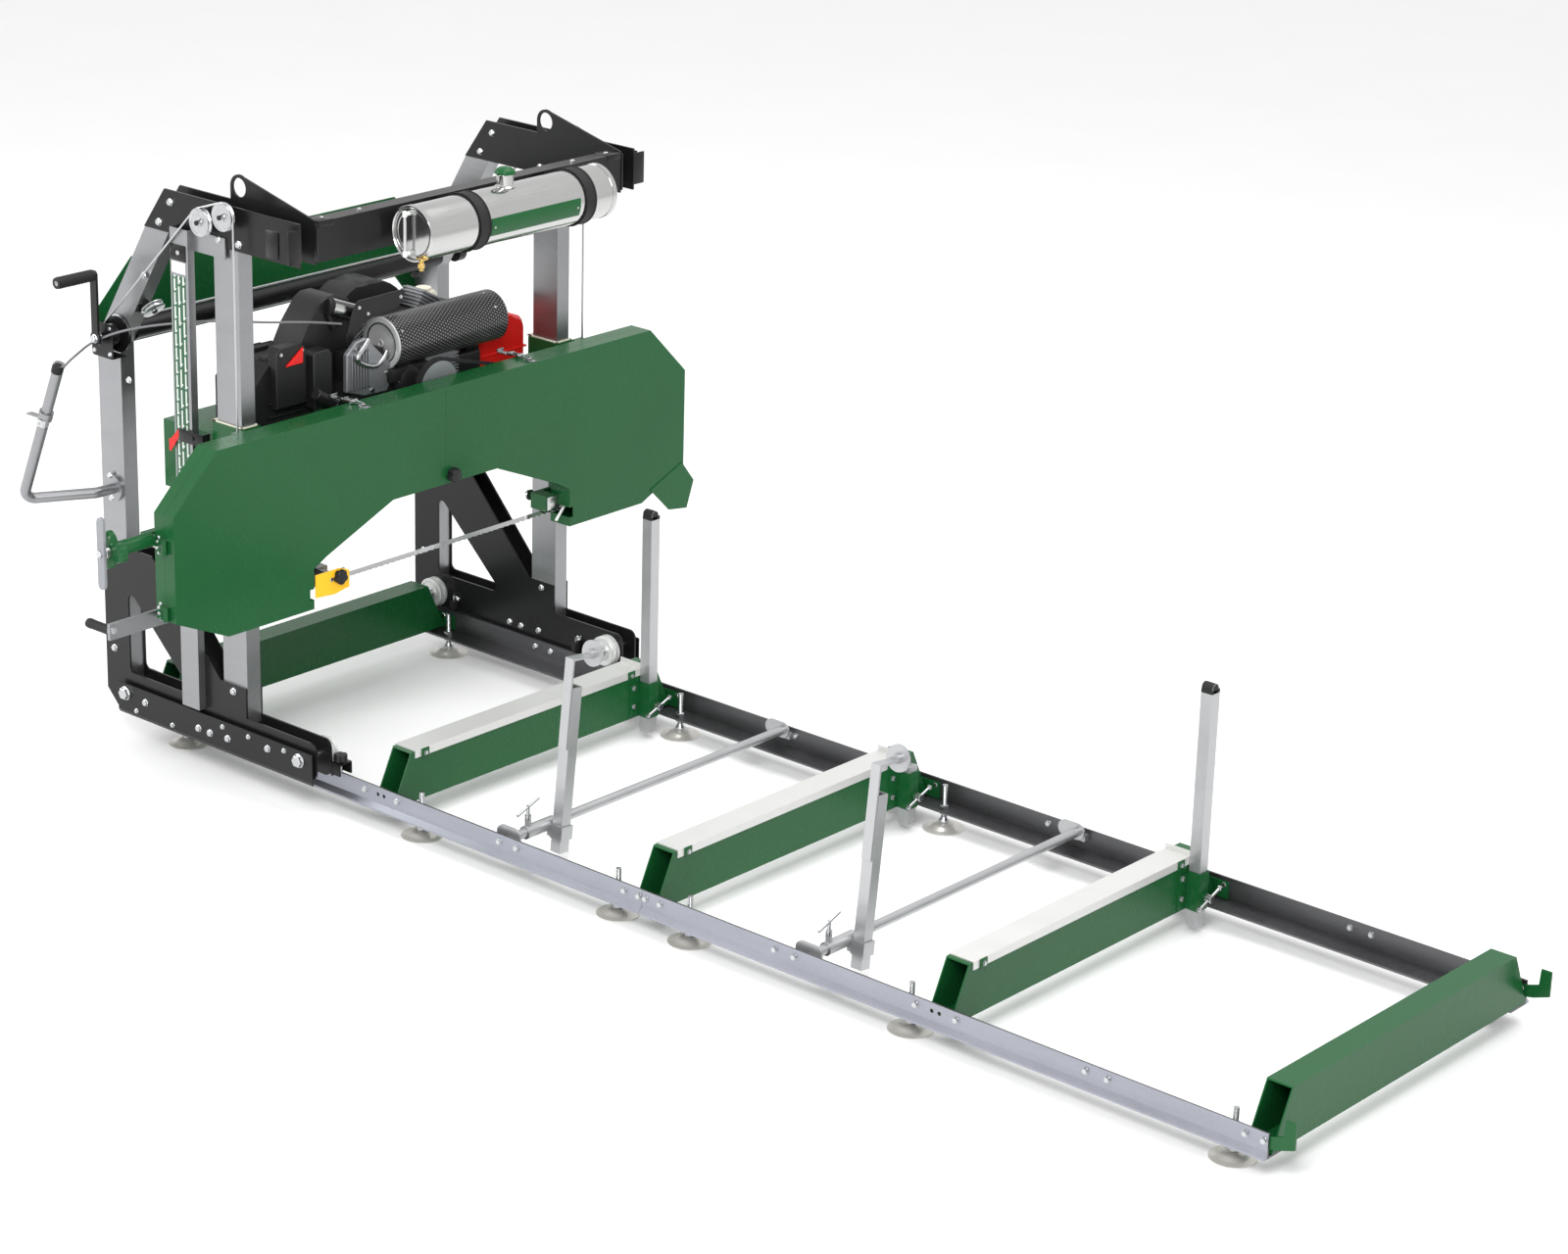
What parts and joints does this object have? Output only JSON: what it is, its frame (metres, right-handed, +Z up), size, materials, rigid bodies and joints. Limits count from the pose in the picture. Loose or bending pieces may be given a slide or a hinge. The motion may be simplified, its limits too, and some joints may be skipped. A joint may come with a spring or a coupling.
{
  "type": "portable band sawmill",
  "caption": "Portable band sawmill: a floor track with log bunks, posts and dogs, a wheeled carriage, and a band head that cranks up and down on two posts.",
  "frame": {"origin": "middle of the track on the floor, level with the soles of the feet", "axes": "+X along the track to its free end, +Y across the track to the side with the log posts, +Z up"},
  "size_m": [4.2084, 2.282, 1.794],
  "materials": {
    "track_rails": "galvanised",
    "log_bunks": "green powder coat",
    "bunk_caps": "brushed stainless",
    "leveling_feet": "zinc plated",
    "track_bolts": "zinc plated",
    "post_sockets": "green powder coat",
    "dog_pipes": "galvanised",
    "side_frames": "black powder coat",
    "frame_posts": "galvanised",
    "top_frame": "black powder coat",
    "wheel_guards": "black powder coat",
    "wheel_axles": "zinc plated",
    "scale_post": "galvanised",
    "push_handle": "galvanised",
    "rear_guard": "green powder coat",
    "lift_bearings": "black powder coat",
    "lube_tank": "brushed stainless",
    "frame_cables": "steel rope",
    "tank_straps": "black powder coat",
    "lift_cables": "steel rope",
    "head_frame": "green powder coat",
    "cover_backs": "green powder coat",
    "engine": "cast aluminium with black sheet",
    "muffler": "black perforated sheet",
    "fuel_tank": "red",
    "battery_box": "black",
    "far_guide": "green powder coat",
    "saw_blade": "bright steel",
    "drive_belt": "black",
    "front_wheels": "zinc plated",
    "rear_wheels": "zinc plated",
    "lift_crank": "black powder coat",
    "front_pulleys": "zinc plated",
    "back_pulleys": "zinc plated",
    "lock_knob": "black powder coat",
    "lube_cap": "green",
    "near_cover_door": "green powder coat",
    "far_cover_door": "green powder coat",
    "near_latch": "black powder coat",
    "far_latch": "black powder coat",
    "cover_knob": "black powder coat",
    "drive_wheel": "machined rim",
    "idler_wheel": "machined rim",
    "idler_block": "zinc plated",
    "engine_pulley": "zinc plated",
    "tension_handle": "green powder coat",
    "guide_arm": "galvanised",
    "log_post_1": "galvanised",
    "post_handle_1": "zinc plated",
    "log_post_2": "galvanised",
    "post_handle_2": "zinc plated",
    "log_post_3": "galvanised",
    "post_handle_3": "zinc plated",
    "dog_sleeve_1": "zinc plated",
    "dog_hook_1": "zinc plated",
    "dog_handle_1": "zinc plated",
    "dog_sleeve_2": "zinc plated",
    "dog_hook_2": "zinc plated",
    "dog_handle_2": "zinc plated"
  },
  "bodies": {
    "track": {"track_rails": "track_rails", "log_bunks": "log_bunks", "bunk_caps": "bunk_caps", "leveling_feet": "leveling_feet", "track_bolts": "track_bolts", "post_sockets": "post_sockets", "dog_pipes": "dog_pipes"},
    "carriage": {"side_frames": "side_frames", "frame_posts": "frame_posts", "top_frame": "top_frame", "wheel_guards": "wheel_guards", "wheel_axles": "wheel_axles", "scale_post": "scale_post", "push_handle": "push_handle", "rear_guard": "rear_guard", "lift_bearings": "lift_bearings", "lube_tank": "lube_tank", "frame_cables": "frame_cables", "tank_straps": "tank_straps", "lift_cables": "lift_cables"},
    "head": {"head_frame": "head_frame", "cover_backs": "cover_backs", "engine": "engine", "muffler": "muffler", "fuel_tank": "fuel_tank", "battery_box": "battery_box", "far_guide": "far_guide", "saw_blade": "saw_blade", "drive_belt": "drive_belt"},
    "front_wheels": {"front_wheels": "front_wheels"},
    "rear_wheels": {"rear_wheels": "rear_wheels"},
    "lift_crank": {"lift_crank": "lift_crank"},
    "front_pulleys": {"front_pulleys": "front_pulleys"},
    "back_pulleys": {"back_pulleys": "back_pulleys"},
    "lock_knob": {"lock_knob": "lock_knob"},
    "lube_cap": {"lube_cap": "lube_cap"},
    "near_door": {"near_cover_door": "near_cover_door"},
    "far_door": {"far_cover_door": "far_cover_door"},
    "near_latch": {"near_latch": "near_latch"},
    "far_latch": {"far_latch": "far_latch"},
    "cover_knob": {"cover_knob": "cover_knob"},
    "drive_wheel": {"drive_wheel": "drive_wheel"},
    "idler_wheel": {"idler_wheel": "idler_wheel"},
    "idler_block": {"idler_block": "idler_block"},
    "engine_pulley": {"engine_pulley": "engine_pulley"},
    "tension_handle": {"tension_handle": "tension_handle"},
    "guide_arm": {"guide_arm": "guide_arm"},
    "log_post_1": {"log_post_1": "log_post_1"},
    "post_handle_1": {"post_handle_1": "post_handle_1"},
    "log_post_2": {"log_post_2": "log_post_2"},
    "post_handle_2": {"post_handle_2": "post_handle_2"},
    "log_post_3": {"log_post_3": "log_post_3"},
    "post_handle_3": {"post_handle_3": "post_handle_3"},
    "dog_sleeve_1": {"dog_sleeve_1": "dog_sleeve_1"},
    "dog_hook_1": {"dog_hook_1": "dog_hook_1"},
    "dog_handle_1": {"dog_handle_1": "dog_handle_1"},
    "dog_sleeve_2": {"dog_sleeve_2": "dog_sleeve_2"},
    "dog_hook_2": {"dog_hook_2": "dog_hook_2"},
    "dog_handle_2": {"dog_handle_2": "dog_handle_2"}
  },
  "joints": [
    {"name": "carriage_travel", "type": "slide", "parent": "track", "child": "carriage", "axis": [1, 0, 0], "range_m": [0, 3.1]},
    {"name": "front_wheel_roll", "type": "hinge", "parent": "carriage", "child": "front_wheels", "pos_m": [-1.237, 0, 0.166], "axis": [0, 1, 0], "continuous": true},
    {"name": "rear_wheel_roll", "type": "hinge", "parent": "carriage", "child": "rear_wheels", "pos_m": [-1.987, 0, 0.166], "axis": [0, 1, 0], "continuous": true},
    {"name": "head_lift", "type": "slide", "parent": "carriage", "child": "head", "axis": [0, 0, 1], "range_m": [-0.3, 0.47], "deforming": ["lift_cables"]},
    {"name": "lift_crank_turn", "type": "hinge", "parent": "carriage", "child": "lift_crank", "pos_m": [-1.992, 0, 1.259], "axis": [0, 1, 0], "continuous": true},
    {"name": "front_pulley_turn", "type": "hinge", "parent": "carriage", "child": "front_pulleys", "pos_m": [-1.491, 0, 1.696], "axis": [0, 1, 0], "continuous": true},
    {"name": "back_pulley_turn", "type": "hinge", "parent": "carriage", "child": "back_pulleys", "pos_m": [-1.585, 0, 1.664], "axis": [0, 1, 0], "continuous": true},
    {"name": "lock_knob_turn", "type": "hinge", "parent": "carriage", "child": "lock_knob", "pos_m": [-1.16735, -0.582, 0.15], "axis": [0, 0, 1], "continuous": true},
    {"name": "lube_cap_turn", "type": "hinge", "parent": "carriage", "child": "lube_cap", "pos_m": [-1.115, 0.018, 1.768], "axis": [0, 0, 1], "continuous": true},
    {"name": "far_door_swing", "type": "hinge", "parent": "head", "child": "far_door", "pos_m": [-1.367, 1.036, 0.855], "axis": [0, 0, 1], "range_deg": [0, 110]},
    {"name": "near_door_swing", "type": "hinge", "parent": "head", "child": "near_door", "pos_m": [-1.367, -1.036, 0.855], "axis": [0, 0, 1], "range_deg": [-110, 0]},
    {"name": "near_latch_flip", "type": "hinge", "parent": "head", "child": "near_latch", "pos_m": [-1.401, -0.3, 1.1103], "axis": [0, 1, 0], "range_deg": [0, 90]},
    {"name": "far_latch_flip", "type": "hinge", "parent": "head", "child": "far_latch", "pos_m": [-1.401, 0.37, 1.1103], "axis": [0, 1, 0], "range_deg": [0, 90]},
    {"name": "cover_knob_turn", "type": "hinge", "parent": "far_door", "child": "cover_knob", "pos_m": [-1.335, 0.0226, 0.835], "axis": [1, 0, 0], "continuous": true},
    {"name": "drive_wheel_spin", "type": "hinge", "parent": "head", "child": "drive_wheel", "pos_m": [-1.409, 0.75, 0.8415], "axis": [1, 0, 0], "continuous": true},
    {"name": "idler_tension", "type": "slide", "parent": "head", "child": "idler_block", "axis": [0, 1, 0], "range_m": [0, 0.016]},
    {"name": "idler_wheel_spin", "type": "hinge", "parent": "idler_block", "child": "idler_wheel", "pos_m": [-1.409, -0.75, 0.8415], "axis": [1, 0, 0], "continuous": true},
    {"name": "engine_pulley_spin", "type": "hinge", "parent": "head", "child": "engine_pulley", "pos_m": [-1.52, 0.06, 1.075], "axis": [1, 0, 0], "continuous": true},
    {"name": "tension_handle_turn", "type": "hinge", "parent": "head", "child": "tension_handle", "pos_m": [-1.428, -1.18, 0.865], "axis": [0, 1, 0], "continuous": true},
    {"name": "guide_slide", "type": "slide", "parent": "head", "child": "guide_arm", "axis": [0, 1, 0], "range_m": [0, 0.34]},
    {"name": "post_1_slide", "type": "slide", "parent": "track", "child": "log_post_1", "axis": [0, 0, 1], "range_m": [-0.012, 0.1]},
    {"name": "post_handle_1_turn", "type": "hinge", "parent": "track", "child": "post_handle_1", "pos_m": [-0.9037, 0.455, 0.11], "axis": [1, 0, 0], "continuous": true},
    {"name": "post_2_slide", "type": "slide", "parent": "track", "child": "log_post_2", "axis": [0, 0, 1], "range_m": [-0.012, 0.1]},
    {"name": "post_handle_2_turn", "type": "hinge", "parent": "track", "child": "post_handle_2", "pos_m": [0.0963, 0.455, 0.11], "axis": [1, 0, 0], "continuous": true},
    {"name": "post_3_slide", "type": "slide", "parent": "track", "child": "log_post_3", "axis": [0, 0, 1], "range_m": [-0.012, 0.1]},
    {"name": "post_handle_3_turn", "type": "hinge", "parent": "track", "child": "post_handle_3", "pos_m": [1.0963, 0.455, 0.11], "axis": [1, 0, 0], "continuous": true},
    {"name": "dog_1_slide", "type": "slide", "parent": "track", "child": "dog_sleeve_1", "axis": [0, 1, 0], "range_m": [-0.03, 0.6]},
    {"name": "dog_hook_1_lift", "type": "slide", "parent": "dog_sleeve_1", "child": "dog_hook_1", "axis": [0, 0.1045, 0.9945], "range_m": [-0.06, 0.15]},
    {"name": "dog_handle_1_turn", "type": "hinge", "parent": "dog_sleeve_1", "child": "dog_handle_1", "pos_m": [-0.5, -0.5065, 0.1529], "axis": [0, 0, 1], "continuous": true},
    {"name": "dog_2_slide", "type": "slide", "parent": "track", "child": "dog_sleeve_2", "axis": [0, 1, 0], "range_m": [-0.03, 0.6]},
    {"name": "dog_hook_2_lift", "type": "slide", "parent": "dog_sleeve_2", "child": "dog_hook_2", "axis": [0, 0.1045, 0.9945], "range_m": [-0.06, 0.15]},
    {"name": "dog_handle_2_turn", "type": "hinge", "parent": "dog_sleeve_2", "child": "dog_handle_2", "pos_m": [0.582, -0.5065, 0.1529], "axis": [0, 0, 1], "continuous": true}
  ],
  "couplings": [
    {"joint": "front_wheel_roll", "follows": "carriage_travel", "rad_per_m": 23.981},
    {"joint": "rear_wheel_roll", "follows": "carriage_travel", "rad_per_m": 23.981},
    {"joint": "lift_crank_turn", "follows": "head_lift", "rad_per_m": 31.25},
    {"joint": "front_pulley_turn", "follows": "head_lift", "rad_per_m": 28.571},
    {"joint": "back_pulley_turn", "follows": "head_lift", "rad_per_m": 28.571},
    {"joint": "idler_wheel_spin", "follows": "drive_wheel_spin", "ratio": 1},
    {"joint": "engine_pulley_spin", "follows": "drive_wheel_spin", "ratio": 1.5},
    {"joint": "tension_handle_turn", "follows": "idler_tension", "rad_per_m": 2094.4}
  ]
}
